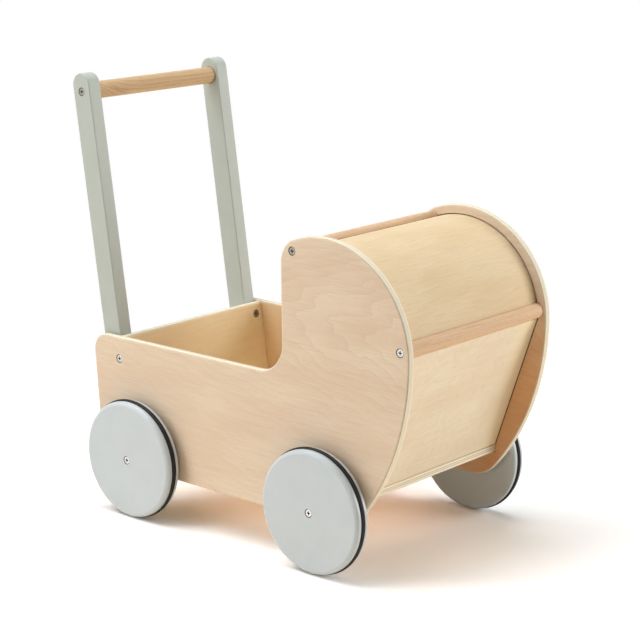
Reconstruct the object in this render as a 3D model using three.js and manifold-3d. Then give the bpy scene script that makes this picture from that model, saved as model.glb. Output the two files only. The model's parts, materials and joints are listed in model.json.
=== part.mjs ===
// Wooden doll stroller. Two sawn plywood sides carry a floor, a rear board, a slanted front board
// and a bent hood sheet between two dowels. Two painted posts behind the rear board hold the push bar.
// Two dowel axles turn in the sides, with a painted disc wheel and a rubber ring on each end.
// Millimetres, +X forward, +Y to the pusher's left, +Z up, the ground at z = 0.

import * as THREE from 'three';
import { mergeVertices, toCreasedNormals } from 'three/addons/utils/BufferGeometryUtils.js';
import Module from 'manifold-3d';

// Boards, edges and clearances
const BOARD = 8; // sides, floor and rear board
const FRONT_BOARD = 6;
const HOOD_SHEET = 3;
const INNER_WIDTH = 200; // between the two sides
const EDGE_ROUND = 2.2; // round-over along the edges of the sides
const EASED_EDGE = 1; // smaller round on posts, boards, rods and wheels
const FIT = 0.3; // gap between pieces that meet
const GROOVE = 3; // depth of the grooves in the sides
const GROOVE_PLAY = 0.5; // a groove is this much wider than its board, all round

// Outline of the sides: heights are from their bottom edge, lengths from the middle of the wheelbase
const SIDE_REAR = 189.5; // back to the rear edge, at the top of the low wall
const SIDE_LEAN = 3.2; // degrees that the rear edge leans back
const WALL_HEIGHT = 135.2;
const REAR_TOP_CORNER = 18;
const BOTTOM_CORNER = 36;
const CUT_OUT_CORNER = 30; // inside corner between the low wall and the hood
const HOOD_CORNER = 24.5; // at the top of the hood's rear edge
const HOOD_AHEAD = 123.7; // centre of the hood's arc
const HOOD_HEIGHT = 170.9; // centre of the hood's arc
const HOOD_RADIUS = 101.6;
const HOOD_BACK = 51; // from the arc's centre back to the hood's rear edge
const NOSE_ANGLE = 0.5; // degrees below level where the hood's arc runs into the flatter nose
const NOSE_RADIUS = 242.5;

// Floor, rear board and front board
const FLOOR_HEIGHT = 28.3; // underside of the floor, above the sides' bottom edge
const FLOOR_SETBACK = 16.7; // floor's front edge behind the nose
const REAR_BOARD_AHEAD = 52.74; // foot of the rear board, ahead of the sides' rear edge
const BACK_TILT = 7.7; // degrees that the rear board and the posts lean back
const REAR_BOARD_ROUND = 3; // round-over on the rear board's top edge

// Hood dowels
const DOWEL_RADIUS = 7.4;
const DOWEL_INSET = 9.8; // dowel's axis inside the hood's outline
const REAR_DOWEL_SETBACK = 15; // rear dowel's axis ahead of the hood's rear edge
const FRONT_DOWEL_ANGLE = 5.9; // degrees above level, seen from the arc's centre
const SHEET_LET_IN = 3; // how far the hood sheet is let into each dowel

// Handle
const POST_WIDTH = 15.4; // across the stroller
const POST_DEPTH = 24;
const POST_LENGTH = 362.8;
const POST_FOOT = 3; // foot of the posts above the foot of the rear board
const POST_SIDE_GAP = 1.5; // between a post and the side next to it
const BAR_RADIUS = 8.7;
const BAR_BELOW_TOP = 18.4; // bar's axis below the top of the posts
const BAR_SEAT = 3; // depth of the bar's seats in the posts

// Wheels and axles
const WHEELBASE = 245.6;
const WHEEL_RADIUS = 60;
const WHEEL_WIDTH = 17;
const WHEEL_ROUND = 1.6; // round on the wheels' edges
const WHEEL_GAP = 3.7; // between a wheel and the side
const TYRE_WIDTH = 5.3;
const TYRE_PROUD = 1.5; // tyre above the wheel's rim
const AXLE_RADIUS = 7.5;
const AXLE_PLAY = 0.4; // running clearance of the axles in the sides
const AXLE_RISE = 16; // axle above the sides' bottom edge
const AXLE_SEAT = 6; // how far the axle enters a wheel

// Countersunk screws with a cross recess
const SCREW_HEAD = 3.9; // radius
const SCREW_SHANK = 1.8; // radius
const SCREW_CONE = 2.6; // height of the head's cone
const SCREW_LAND = 0.4; // straight rim of the head
const SCREW_TIP = 5;
const SCREW_SINK = 0.3; // head below the surface
const CROSS_LENGTH = 4.6;
const CROSS_WIDTH = 1.1;
const CROSS_DEPTH = 1.5;
const SIDE_SCREW = 34; // screws through the sides
const POST_SCREW = 25; // screws through the rear board into the posts
const BAR_SCREW = 40;
const WHEEL_SCREW = 38;
const SIDE_SCREW_BELOW_TOP = 22; // below the rear board's top edge
const POST_SCREW_BELOW_TOP = 12.5; // upper post screws, below the rear board's top edge
const POST_SCREW_ABOVE_FOOT = 15; // lower post screws, above the rear board's foot

// Facets
const CHORD = 0.12; // how far a chord may stray from its arc
const ROUND_STEPS = 2; // steps in a board's round-over
const WHEEL_SIDES = 32;
const ROD_SIDES = 20;
const SCREW_SIDES = 12;
const TYRE_SECTION_SIDES = 8;
const CREASE = 0.6; // radians; sharper edges than this stay sharp
const SAME_POINT = 0.03; // points of an outline that are nearer than this are one
const OVERCUT = 1; // how far a cutter reaches past the surface that it opens

const wasm = await Module();
wasm.setup();

const deg = THREE.MathUtils.degToRad;
const point = (x, z) => new THREE.Vector2(x, z);
const LEFT = 1;
const RIGHT = -1;
const SIDES = { left: LEFT, right: RIGHT };

// Heights
const tyreRadius = WHEEL_RADIUS + TYRE_PROUD;
const axleHeight = tyreRadius * Math.cos(Math.PI / WHEEL_SIDES); // the tyres stand on a flat facet
const sideBottom = axleHeight - AXLE_RISE;
const wallTop = sideBottom + WALL_HEIGHT;
const floorBottom = sideBottom + FLOOR_HEIGHT;
const floorTop = floorBottom + BOARD;

// Widths
const innerFace = INNER_WIDTH / 2;
const outerFace = innerFace + BOARD;
const groovedWidth = INNER_WIDTH + 2 * (GROOVE - FIT);
const fittedWidth = INNER_WIDTH - 2 * FIT;

// Finishes
const PLY = { color: 0xe0c8aa, roughness: 0.55, metalness: 0 };
const HOOD_PLY = { color: 0xebd5aa, roughness: 0.5, metalness: 0 };
const DOWEL_WOOD = { color: 0xdcb48c, roughness: 0.5, metalness: 0 };
const BAR_WOOD = { color: 0xd9b27e, roughness: 0.5, metalness: 0 };
const PAINT = { color: 0xc8cec8, roughness: 0.45, metalness: 0 };
const RUBBER = { color: 0x2a2622, roughness: 0.7, metalness: 0 };
const STEEL = { color: 0xb8b4ae, roughness: 0.3, metalness: 1 };

function piece(parent, name, geometry, finish) {
  const mesh = new THREE.Mesh(geometry, new THREE.MeshStandardMaterial(finish));
  mesh.name = name;
  parent.add(mesh);
  return mesh;
}

// Boolean work
function toSolid(geometry) {
  const bare = geometry.clone();
  bare.deleteAttribute('normal');
  bare.deleteAttribute('uv');
  const merged = mergeVertices(bare);
  const vertProperties = new Float32Array(merged.attributes.position.array);
  const triVerts = new Uint32Array(merged.index.array);
  return new wasm.Manifold(new wasm.Mesh({ numProp: 3, vertProperties, triVerts }));
}

function cut(geometry, cutters) {
  const solid = cutters.reduce((left, cutter) => left.subtract(toSolid(cutter)), toSolid(geometry));
  const mesh = solid.getMesh();
  const result = new THREE.BufferGeometry();
  result.setAttribute('position', new THREE.BufferAttribute(mesh.vertProperties, mesh.numProp));
  result.setIndex(new THREE.BufferAttribute(mesh.triVerts, 1));
  return toCreasedNormals(result, CREASE);
}

// Outlines in the x-z plane
function arc(centre, radius, from, to) {
  const step = 2 * Math.acos(1 - CHORD / radius);
  const count = Math.ceil(Math.abs(to - from) / step);
  return Array.from({ length: count + 1 }, (_, i) => {
    const angle = from + ((to - from) * i) / count;
    return point(centre.x + radius * Math.cos(angle), centre.y + radius * Math.sin(angle));
  });
}

function corner(before, tip, after, radius) {
  const back = before.clone().sub(tip).normalize();
  const on = after.clone().sub(tip).normalize();
  const half = Math.acos(back.dot(on)) / 2;
  const inward = back.clone().add(on).normalize();
  const centre = tip.clone().addScaledVector(inward, radius / Math.sin(half));
  const from = tip.clone().addScaledVector(back, radius / Math.tan(half)).sub(centre).angle();
  const to = tip.clone().addScaledVector(on, radius / Math.tan(half)).sub(centre).angle();
  const turn = THREE.MathUtils.euclideanModulo(to - from + Math.PI, 2 * Math.PI) - Math.PI;
  return arc(centre, radius, from, from + turn);
}

function rounded(tips, radii) {
  return tips.flatMap((tip, i) => {
    const before = tips.at(i - 1);
    const after = tips[(i + 1) % tips.length];
    return corner(before, tip, after, radii[i]);
  });
}

function joined(...runs) {
  const points = runs.flat();
  return points.filter((p, i) => p.distanceTo(points.at(i - 1)) > SAME_POINT);
}

// A board with its outline in the x-z plane, its thickness along Y and its middle at y = 0
function board(outline, thickness, round = 0) {
  const depth = thickness - 2 * round;
  const geometry = new THREE.ExtrudeGeometry(new THREE.Shape(outline), {
    depth,
    bevelEnabled: round > 0,
    bevelThickness: round,
    bevelSize: round,
    bevelOffset: -round,
    bevelSegments: ROUND_STEPS,
  });
  return geometry.rotateX(Math.PI / 2).translate(0, depth / 2, 0);
}

// Revolved pieces, with the axis along Y
function turned(profile, sides) {
  const points = profile.map(([radius, y]) => new THREE.Vector2(radius, y));
  return new THREE.LatheGeometry(points, sides, Math.PI / sides);
}

function rod(radius, length, pilotDepth) {
  const end = length / 2;
  const pilot = SCREW_SHANK + FIT;
  return turned([
    [0, pilotDepth - end],
    [pilot, pilotDepth - end],
    [pilot, -end],
    [radius - EASED_EDGE, -end],
    [radius, EASED_EDGE - end],
    [radius, end - EASED_EDGE],
    [radius - EASED_EDGE, end],
    [pilot, end],
    [pilot, end - pilotDepth],
    [0, end - pilotDepth],
  ], ROD_SIDES);
}

// A screw hangs down along -Y from the middle of its head
function screw(length) {
  const body = turned([
    [0, -length],
    [SCREW_SHANK, SCREW_TIP - length],
    [SCREW_SHANK, -SCREW_LAND - SCREW_CONE],
    [SCREW_HEAD, -SCREW_LAND],
    [SCREW_HEAD, 0],
    [0, 0],
  ], SCREW_SIDES);
  const slots = [0, Math.PI / 2].map((angle) => (
    new THREE.BoxGeometry(CROSS_LENGTH, 2 * CROSS_DEPTH, CROSS_WIDTH).rotateY(angle)
  ));
  return cut(body, slots);
}

// The room that a screw needs, with its mouth open above the head
function screwHole(length) {
  return turned([
    [0, -length - FIT],
    [SCREW_SHANK + FIT, -length - FIT],
    [SCREW_SHANK + FIT, -SCREW_LAND - SCREW_CONE],
    [SCREW_HEAD + FIT, -SCREW_LAND],
    [SCREW_HEAD + FIT, OVERCUT],
    [0, OVERCUT],
  ], SCREW_SIDES);
}

// Depth of the hole for a screw's end, in a rod behind a wall of the given thickness
function pilotDepth(length, wall) {
  return length + SCREW_SINK - wall;
}

function facing(hand, geometry) {
  return hand === LEFT ? geometry : geometry.rotateX(Math.PI);
}

// The hood's arc and what is measured from it
const noseAngle = deg(NOSE_ANGLE);
const hoodCentre = point(HOOD_AHEAD, sideBottom + HOOD_HEIGHT);
const hoodRear = HOOD_AHEAD - HOOD_BACK;
const noseCentre = point(
  hoodCentre.x - (NOSE_RADIUS - HOOD_RADIUS) * Math.cos(noseAngle),
  hoodCentre.y + (NOSE_RADIUS - HOOD_RADIUS) * Math.sin(noseAngle),
);
const dowelCircle = HOOD_RADIUS - DOWEL_INSET;
const frontDowelAngle = deg(FRONT_DOWEL_ANGLE);
const rearDowelAngle = Math.acos((REAR_DOWEL_SETBACK - HOOD_BACK) / dowelCircle);
const onDowelCircle = (angle) => point(
  hoodCentre.x + dowelCircle * Math.cos(angle),
  hoodCentre.y + dowelCircle * Math.sin(angle),
);
const frontDowel = onDowelCircle(frontDowelAngle);
const rearDowel = onDowelCircle(rearDowelAngle);

function noseAt(z) {
  return noseCentre.x + Math.sqrt(NOSE_RADIUS ** 2 - (z - noseCentre.y) ** 2);
}

// The rear board and the posts stand in a group that leans back about the rear board's foot
const backTilt = deg(BACK_TILT);
const rearBoardFoot = REAR_BOARD_AHEAD - SIDE_REAR;
const back = new THREE.Group();
back.position.set(rearBoardFoot, 0, floorTop + FIT);
back.rotation.y = -backTilt;
const rearBoardLength = (wallTop - floorTop - FIT) / Math.cos(backTilt);
const sideScrewSpot = point(-BOARD / 2, rearBoardLength - SIDE_SCREW_BELOW_TOP);
const postScrewHeights = {
  upper: rearBoardLength - POST_SCREW_BELOW_TOP,
  lower: POST_SCREW_ABOVE_FOOT,
};

function fromBack(spot) {
  back.updateMatrixWorld();
  const world = back.localToWorld(new THREE.Vector3(spot.x, 0, spot.y));
  return point(world.x, world.z);
}

// Floor and front board, as outlines that can be widened into the grooves that hold them
const floorFront = noseAt(floorTop) - FLOOR_SETBACK;
const floorRear = rearBoardFoot - BOARD / Math.cos(backTilt);

function floorTips(grow) {
  return [
    point(floorRear - grow, floorBottom - grow),
    point(floorFront + grow, floorBottom - grow),
    point(floorFront + grow, floorTop + grow),
    point(floorRear - grow, floorTop + grow),
  ];
}

// The front board's outer face meets the floor's front edge, and its middle runs into the front dowel
function frontBoardTips(grow) {
  const foot = point(floorFront, floorTop);
  const reach = frontDowel.clone().sub(foot);
  const slope = Math.atan2(reach.x, reach.y) + Math.asin(FRONT_BOARD / 2 / reach.length());
  const up = point(Math.sin(slope), Math.cos(slope));
  const out = point(Math.cos(slope), -Math.sin(slope));
  const bottom = floorTop + FIT - grow;
  const top = reach.dot(up) - DOWEL_RADIUS - FIT + grow;
  const low = (offset) => point(
    foot.x + (bottom - foot.y) * Math.tan(slope) + offset / Math.cos(slope),
    bottom,
  );
  const high = (offset) => foot.clone().addScaledVector(up, top).addScaledVector(out, offset);
  const inner = -FRONT_BOARD - grow;
  return [low(inner), low(grow), high(grow), high(inner)];
}

function hoodSheetOutline(grow) {
  const margin = (DOWEL_RADIUS - SHEET_LET_IN - grow) / dowelCircle;
  const from = frontDowelAngle + margin;
  const to = rearDowelAngle - margin;
  return joined(
    arc(hoodCentre, dowelCircle + grow, from, to),
    arc(hoodCentre, dowelCircle - HOOD_SHEET - grow, to, from),
  );
}

// Sides
function sideOutline() {
  const lean = Math.tan(deg(SIDE_LEAN));
  const rearTop = point(-SIDE_REAR, wallTop);
  const rearFoot = point(-SIDE_REAR + WALL_HEIGHT * lean, sideBottom);
  const cutOut = point(hoodRear, wallTop);
  const noseFoot = sideBottom + BOTTOM_CORNER;
  const noseReach = Math.sqrt((NOSE_RADIUS - BOTTOM_CORNER) ** 2 - (noseFoot - noseCentre.y) ** 2);
  const noseEnd = Math.atan2(noseFoot - noseCentre.y, noseReach);
  const frontFoot = point(noseCentre.x + noseReach, noseFoot);
  const cornerAcross = HOOD_CORNER - HOOD_BACK;
  const cornerUp = Math.sqrt((HOOD_RADIUS - HOOD_CORNER) ** 2 - cornerAcross ** 2);
  const hoodEnd = Math.atan2(cornerUp, cornerAcross);
  const hoodTip = point(hoodCentre.x + cornerAcross, hoodCentre.y + cornerUp);
  return joined(
    arc(frontFoot, BOTTOM_CORNER, -Math.PI / 2, noseEnd),
    arc(noseCentre, NOSE_RADIUS, noseEnd, -noseAngle),
    arc(hoodCentre, HOOD_RADIUS, -noseAngle, hoodEnd),
    arc(hoodTip, HOOD_CORNER, hoodEnd, Math.PI),
    corner(hoodTip.clone().setX(hoodRear), cutOut, rearTop, CUT_OUT_CORNER),
    corner(cutOut, rearTop, rearFoot, REAR_TOP_CORNER),
    corner(rearTop, rearFoot, point(frontFoot.x, sideBottom), BOTTOM_CORNER),
  );
}

const axleSpots = { front: WHEELBASE / 2, rear: -WHEELBASE / 2 };
const sideScrews = {
  hood_front_screw: frontDowel,
  hood_rear_screw: rearDowel,
  rear_board_screw: fromBack(sideScrewSpot),
};

function side(hand) {
  const middle = innerFace + BOARD / 2;
  const grooveMiddle = hand * (innerFace + GROOVE / 2 - OVERCUT / 2 - middle);
  const grooves = [floorTips(GROOVE_PLAY), frontBoardTips(GROOVE_PLAY), hoodSheetOutline(GROOVE_PLAY)];
  const grooveCutters = grooves.map((outline) => (
    board(outline, GROOVE + OVERCUT).translate(0, grooveMiddle, 0)
  ));
  const axleHoles = Object.values(axleSpots).map((x) => (
    new THREE.CylinderGeometry(
      AXLE_RADIUS + AXLE_PLAY, AXLE_RADIUS + AXLE_PLAY, BOARD + 2 * OVERCUT, ROD_SIDES,
    ).translate(x, 0, axleHeight)
  ));
  const screwHoles = Object.values(sideScrews).map((spot) => (
    facing(hand, screwHole(SIDE_SCREW)).translate(spot.x, hand * (BOARD / 2 - SCREW_SINK), spot.y)
  ));
  const blank = board(sideOutline(), BOARD, EDGE_ROUND);
  return cut(blank, [...grooveCutters, ...axleHoles, ...screwHoles]);
}

// Rear board and posts, in the leaning group's own axes
const boardBack = -BOARD;
const postFront = boardBack - FIT;
const postMiddle = postFront - POST_DEPTH / 2;
const postCentre = innerFace - POST_SIDE_GAP - POST_WIDTH / 2;
const postTop = POST_FOOT + POST_LENGTH;
const barHeight = postTop - BAR_BELOW_TOP;

function postScrewHole(height) {
  return screwHole(POST_SCREW).rotateZ(-Math.PI / 2).translate(-SCREW_SINK, 0, height);
}

function rearBoard() {
  const tips = [
    point(boardBack, BOARD * Math.tan(backTilt)),
    point(0, 0),
    point(0, rearBoardLength),
    point(boardBack, rearBoardLength),
  ];
  const radii = [EASED_EDGE, EASED_EDGE, REAR_BOARD_ROUND, REAR_BOARD_ROUND];
  const holes = Object.values(SIDES).flatMap((hand) => {
    const head = hand * (outerFace - SCREW_SINK);
    const endHole = facing(hand, screwHole(SIDE_SCREW)).translate(sideScrewSpot.x, head, sideScrewSpot.y);
    const postHoles = Object.values(postScrewHeights).map((height) => (
      postScrewHole(height).translate(0, hand * postCentre, 0)
    ));
    return [endHole, ...postHoles];
  });
  return cut(board(rounded(tips, radii), fittedWidth), holes);
}

function post(hand) {
  const outline = [
    point(postFront - POST_DEPTH, POST_FOOT),
    point(postFront, POST_FOOT),
    ...arc(point(postMiddle, postTop - POST_DEPTH / 2), POST_DEPTH / 2, 0, Math.PI),
  ];
  const seatDepth = BAR_SEAT + OVERCUT;
  const seatMiddle = -hand * (POST_WIDTH / 2 - BAR_SEAT + seatDepth / 2);
  const seat = new THREE.CylinderGeometry(BAR_RADIUS + FIT, BAR_RADIUS + FIT, seatDepth, ROD_SIDES);
  const barHole = facing(hand, screwHole(BAR_SCREW));
  return cut(board(outline, POST_WIDTH, EASED_EDGE), [
    seat.translate(postMiddle, seatMiddle, barHeight),
    barHole.translate(postMiddle, hand * (POST_WIDTH / 2 - SCREW_SINK), barHeight),
    ...Object.values(postScrewHeights).map(postScrewHole),
  ]);
}

// Hood dowels, slotted for the edges of the hood sheet
function hoodDowel(spot) {
  const slot = board(hoodSheetOutline(FIT), groovedWidth).translate(-spot.x, 0, -spot.y);
  return cut(rod(DOWEL_RADIUS, fittedWidth, pilotDepth(SIDE_SCREW, BOARD)), [slot]);
}

// A wheel has its outer face towards +Y: screw hole and axle seat in the middle, a groove for the tyre
const tyreCentre = tyreRadius - TYRE_WIDTH / 2;

function wheel() {
  const face = WHEEL_WIDTH / 2;
  const shankHole = SCREW_SHANK + FIT;
  const seat = AXLE_RADIUS + FIT;
  const wall = TYRE_WIDTH / 2 + FIT;
  const bevel = wall * Math.tan(Math.PI / TYRE_SECTION_SIDES);
  const headFloor = face - SCREW_SINK - SCREW_LAND;
  const profile = [
    [SCREW_HEAD + FIT, headFloor],
    [shankHole, headFloor - SCREW_CONE],
    [shankHole, AXLE_SEAT - face],
    [seat, AXLE_SEAT - face],
    [seat, -face],
    [WHEEL_RADIUS - WHEEL_ROUND, -face],
    [WHEEL_RADIUS, WHEEL_ROUND - face],
    [WHEEL_RADIUS, -wall],
    [tyreCentre - bevel, -wall],
    [tyreCentre - wall, -bevel],
    [tyreCentre - wall, bevel],
    [tyreCentre - bevel, wall],
    [WHEEL_RADIUS, wall],
    [WHEEL_RADIUS, face - WHEEL_ROUND],
    [WHEEL_RADIUS - WHEEL_ROUND, face],
    [SCREW_HEAD + FIT, face],
    [SCREW_HEAD + FIT, headFloor],
  ];
  return turned(profile, WHEEL_SIDES);
}

function tyre() {
  const reach = TYRE_WIDTH / 2 / Math.cos(Math.PI / TYRE_SECTION_SIDES);
  const profile = Array.from({ length: TYRE_SECTION_SIDES + 1 }, (_, i) => {
    const angle = ((2 * (i % TYRE_SECTION_SIDES) - 1) * Math.PI) / TYRE_SECTION_SIDES;
    return [tyreCentre + reach * Math.cos(angle), reach * Math.sin(angle)];
  });
  return turned(profile, WHEEL_SIDES);
}

// The stroller
const stroller = new THREE.Group();

for (const [name, hand] of Object.entries(SIDES)) {
  const panel = piece(stroller, `side_panel_${name}`, side(hand), PLY);
  panel.position.y = hand * (innerFace + BOARD / 2);
  for (const [screwName, spot] of Object.entries(sideScrews)) {
    const fixing = piece(stroller, `${screwName}_${name}`, screw(SIDE_SCREW), STEEL);
    fixing.position.set(spot.x, hand * (outerFace - SCREW_SINK), spot.y);
    fixing.rotation.x = hand === LEFT ? 0 : Math.PI;
  }
}

const floorRounds = Array(floorTips(0).length).fill(EASED_EDGE);
piece(stroller, 'floor_board', board(rounded(floorTips(0), floorRounds), groovedWidth), PLY);
const frontRounds = Array(frontBoardTips(0).length).fill(EASED_EDGE);
piece(stroller, 'front_board', board(rounded(frontBoardTips(0), frontRounds), groovedWidth), HOOD_PLY);
piece(stroller, 'hood_sheet', board(hoodSheetOutline(0), groovedWidth), HOOD_PLY);
piece(stroller, 'hood_front_dowel', hoodDowel(frontDowel), DOWEL_WOOD)
  .position.set(frontDowel.x, 0, frontDowel.y);
piece(stroller, 'hood_rear_dowel', hoodDowel(rearDowel), DOWEL_WOOD)
  .position.set(rearDowel.x, 0, rearDowel.y);

stroller.add(back);
piece(back, 'rear_board', rearBoard(), PLY);
const barLength = 2 * (postCentre - POST_WIDTH / 2 + BAR_SEAT - FIT);
const barPilot = pilotDepth(BAR_SCREW, POST_WIDTH - BAR_SEAT);
piece(back, 'handle_bar', rod(BAR_RADIUS, barLength, barPilot), BAR_WOOD)
  .position.set(postMiddle, 0, barHeight);
for (const [name, hand] of Object.entries(SIDES)) {
  piece(back, `handle_post_${name}`, post(hand), PAINT).position.y = hand * postCentre;
  const barScrew = piece(back, `handle_bar_screw_${name}`, screw(BAR_SCREW), STEEL);
  barScrew.position.set(postMiddle, hand * (postCentre + POST_WIDTH / 2 - SCREW_SINK), barHeight);
  barScrew.rotation.x = hand === LEFT ? 0 : Math.PI;
  for (const [level, height] of Object.entries(postScrewHeights)) {
    const fixing = piece(back, `post_screw_${level}_${name}`, screw(POST_SCREW), STEEL);
    fixing.position.set(-SCREW_SINK, hand * postCentre, height);
    fixing.rotation.z = -Math.PI / 2;
  }
}

const wheelMiddle = outerFace + WHEEL_GAP + WHEEL_WIDTH / 2;
const wheelFace = wheelMiddle + WHEEL_WIDTH / 2;
const axleLength = 2 * (outerFace + WHEEL_GAP + AXLE_SEAT - FIT);
const axlePilot = pilotDepth(WHEEL_SCREW, WHEEL_WIDTH - AXLE_SEAT);
for (const [end, x] of Object.entries(axleSpots)) {
  const wheelset = new THREE.Group();
  wheelset.position.set(x, 0, axleHeight);
  stroller.add(wheelset);
  piece(wheelset, `${end}_axle`, rod(AXLE_RADIUS, axleLength, axlePilot), DOWEL_WOOD);
  for (const [name, hand] of Object.entries(SIDES)) {
    const hub = new THREE.Group();
    hub.rotation.x = hand === LEFT ? 0 : Math.PI;
    wheelset.add(hub);
    piece(hub, `${end}_wheel_${name}`, wheel(), PAINT).position.y = wheelMiddle;
    piece(hub, `${end}_tyre_${name}`, tyre(), RUBBER).position.y = wheelMiddle;
    piece(hub, `${end}_wheel_screw_${name}`, screw(WHEEL_SCREW), STEEL)
      .position.y = wheelFace - SCREW_SINK;
  }
}

// The origin lies on the ground under the middle of the stroller's length
const extent = new THREE.Box3().setFromObject(stroller, true);
stroller.position.x = -(extent.min.x + extent.max.x) / 2;

export default stroller;
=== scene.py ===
# %% [markdown]
# # A wooden doll stroller
# Two plywood sides carry a floor, a rear board, a slanted front board and a bent hood sheet. Painted
# posts hold a round push bar, and painted disc wheels with rubber rings turn on dowel axles. The packed
# model loads as a fixed frame, so each piece below is modelled in place, rides on a body of that frame
# and stands for the plain solid of the same piece.

# %% Load the frame
import json
import math

import bmesh
import bpy
from mathutils import Matrix, Quaternion, Vector


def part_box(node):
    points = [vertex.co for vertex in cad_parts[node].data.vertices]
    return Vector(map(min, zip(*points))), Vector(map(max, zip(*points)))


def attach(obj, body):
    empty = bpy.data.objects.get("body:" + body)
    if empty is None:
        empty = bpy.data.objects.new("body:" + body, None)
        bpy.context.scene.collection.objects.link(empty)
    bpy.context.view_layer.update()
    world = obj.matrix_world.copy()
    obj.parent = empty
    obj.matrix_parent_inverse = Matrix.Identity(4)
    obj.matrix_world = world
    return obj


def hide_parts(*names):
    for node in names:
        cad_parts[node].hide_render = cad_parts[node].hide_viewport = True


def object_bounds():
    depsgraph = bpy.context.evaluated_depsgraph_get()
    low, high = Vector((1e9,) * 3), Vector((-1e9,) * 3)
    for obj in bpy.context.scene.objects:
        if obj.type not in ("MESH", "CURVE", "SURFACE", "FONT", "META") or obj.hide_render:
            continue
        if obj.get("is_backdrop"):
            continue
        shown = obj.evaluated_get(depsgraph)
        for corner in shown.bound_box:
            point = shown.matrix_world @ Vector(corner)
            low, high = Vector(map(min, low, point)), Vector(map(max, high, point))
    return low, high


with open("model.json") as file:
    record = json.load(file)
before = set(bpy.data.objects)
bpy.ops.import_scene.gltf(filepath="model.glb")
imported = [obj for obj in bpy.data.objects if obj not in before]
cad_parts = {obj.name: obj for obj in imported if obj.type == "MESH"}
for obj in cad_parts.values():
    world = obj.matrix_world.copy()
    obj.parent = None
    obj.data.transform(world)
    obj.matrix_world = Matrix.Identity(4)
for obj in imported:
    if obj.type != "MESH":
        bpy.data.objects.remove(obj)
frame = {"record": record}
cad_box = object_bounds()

scene = bpy.context.scene

# %% [markdown]
# ## Measuring the frame
# A woodworker thinks in millimetres, so shapes are drawn in them and scaled to the frame's metres once,
# when a piece is made. What the frame can tell, such as where the axles and the faces of the sides lie,
# is read from it and not written down again.

# %% Measure the frame
MM = 0.001  # metres in a millimetre
ENDS = ("front", "rear")


def span(node):
    """Lowest corner, highest corner and middle of a solid, in millimetres."""
    low, high = (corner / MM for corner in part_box(node))
    return low, high, (low + high) / 2


side_low, side_high, _ = span("side_panel_left")
floor_low, floor_high, _ = span("floor_board")
inner_face, outer_face, side_bottom = side_low.y, side_high.y, side_low.z
floor_bottom, floor_top = floor_low.z, floor_high.z
BOARD = outer_face - inner_face
axle_spots = {end: span(f"{end}_axle")[2] for end in ENDS}
middle = sum(spot.x for spot in axle_spots.values()) / len(ENDS)
print(f"boards of {BOARD:.1f} mm, floor at {floor_bottom:.1f} mm, middle at x = {middle:.2f} mm")

# %% [markdown]
# ## The camera
# The picture was taken with a long lens from the front right, a little above the hood. A camera aimed
# by eye would leave each edge a little off, so these numbers are a lens and a place that make all the
# wheels' circles and the straight edges of the boards fall where the picture shows them. Places are
# measured from the middle of the wheelbase, on the ground.

# %% Camera
LENS, SENSOR = 107.38, 36.0  # mm
CAMERA_AHEAD, CAMERA_ASIDE, CAMERA_UP = 1242.0, -1367.2, 657.8  # mm
AZIMUTH, ELEVATION, ROLL = math.radians(41.669), math.radians(13.887), math.radians(-0.56)

view_right = Vector((math.cos(AZIMUTH), math.sin(AZIMUTH), 0))
view_ahead = Vector((-math.sin(AZIMUTH), math.cos(AZIMUTH), 0))
view_up = Vector((0, 0, 1))
look = view_ahead * math.cos(ELEVATION) - view_up * math.sin(ELEVATION)

lens = bpy.data.cameras.new("photo_lens")
lens.lens, lens.sensor_width = LENS, SENSOR
camera = bpy.data.objects.new("photo_camera", lens)
camera.location = Vector((middle + CAMERA_AHEAD, CAMERA_ASIDE, CAMERA_UP)) * MM
camera.rotation_mode = "QUATERNION"
camera.rotation_quaternion = look.to_track_quat("-Z", "Y") @ Quaternion((0, 0, 1), ROLL)
scene.collection.objects.link(camera)
scene.camera = camera
scene.view_settings.view_transform = "Standard"
print("camera at", [round(value, 3) for value in camera.location], "m")

# %% [markdown]
# ## Shader maths in Python
# A finish is a small web of nodes. Drawing the web by hand hides the idea, so one class stands for a
# socket and turns + - * / and ** into Math nodes, and another stands for a material and adds any other
# node with its settings and its sockets. A finish then reads like the sentence that describes it.


# %% A socket that can be calculated with
class Shade:
    """An output socket; arithmetic on it adds Math nodes to its material."""

    def __init__(self, finish, socket):
        self.finish = finish
        self.socket = socket

    def math(self, operation, *others):
        return self.finish.math(operation, self, *others)

    def output(self, name):
        return Shade(self.finish, self.socket.node.outputs[name])

    def __add__(self, other):
        return self.math("ADD", other)

    def __sub__(self, other):
        return self.math("SUBTRACT", other)

    def __rsub__(self, other):
        return self.finish.math("SUBTRACT", other, self)

    def __mul__(self, other):
        return self.math("MULTIPLY", other)

    def __truediv__(self, other):
        return self.math("DIVIDE", other)

    def __rtruediv__(self, other):
        return self.finish.math("DIVIDE", other, self)

    def __pow__(self, other):
        return self.math("POWER", other)

    def __rpow__(self, other):
        return self.finish.math("POWER", other, self)

    __radd__ = __add__
    __rmul__ = __mul__


def reach(first, second):
    """Length of a way whose parts lie square to each other."""
    return (first**2 + second**2).math("SQRT")


# %% A material that nodes are added to
X, Y, Z = (1, 0, 0), (0, 1, 0), (0, 0, 1)
NOISE_ROUGHNESS = 0.55


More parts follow.
